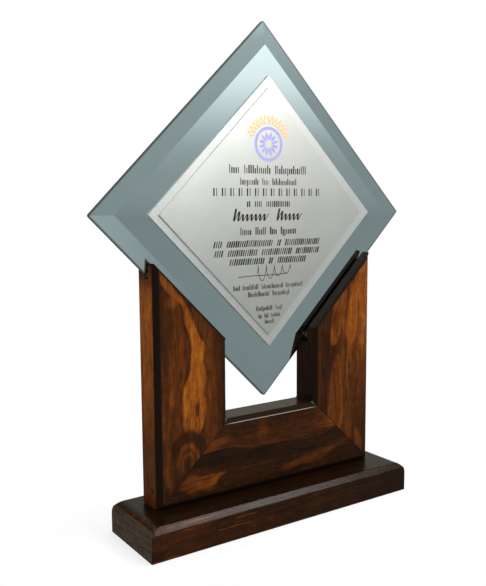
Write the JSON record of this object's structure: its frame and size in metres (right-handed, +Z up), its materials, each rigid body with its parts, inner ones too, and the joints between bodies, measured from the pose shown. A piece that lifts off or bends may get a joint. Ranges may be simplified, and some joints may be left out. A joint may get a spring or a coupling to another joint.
{
  "type": "award plaque",
  "caption": "Free-standing award plaque: a bevelled mirror diamond with a printed metal plate, held in a mitred U-shaped wooden frame on a chamfered base board.",
  "frame": {"origin": "middle of the footprint of the base board, on its underside", "axes": "+Z up, -Y out of the printed face towards the reader, +X to the reader's right"},
  "size_m": [0.2816, 0.064, 0.3726],
  "materials": {
    "base_wood": "dark walnut stain under gloss lacquer",
    "frame_wood": "walnut stain under gloss lacquer, near-black on the chamfers",
    "mirror": "polished glass, ground bevel, painted back",
    "border_metal": "satin",
    "printed_metal": "fine matt brushed, printed",
    "tape": "double-sided tape",
    "silicone": "black silicone, smooth",
    "filler": "dark wood filler",
    "screw_steel": "yellow zinc plate",
    "nail_steel": "bright drawn wire"
  },
  "bodies": {
    "root": {"base_board": "base_wood", "bottom_rail": "frame_wood", "left_stile": "frame_wood", "right_stile": "frame_wood", "bevelled_mirror": "mirror", "border_plate": "border_metal", "printed_plate": "printed_metal", "border_tape_upper": "tape", "border_tape_lower": "tape", "print_tape_upper": "tape", "print_tape_lower": "tape", "left_silicone_bead": "silicone", "right_silicone_bead": "silicone", "left_base_screw": "screw_steel", "middle_base_screw": "screw_steel", "right_base_screw": "screw_steel", "left_mitre_nail": "nail_steel", "right_mitre_nail": "nail_steel", "left_nail_filler": "filler", "right_nail_filler": "filler"}
  },
  "joints": []
}
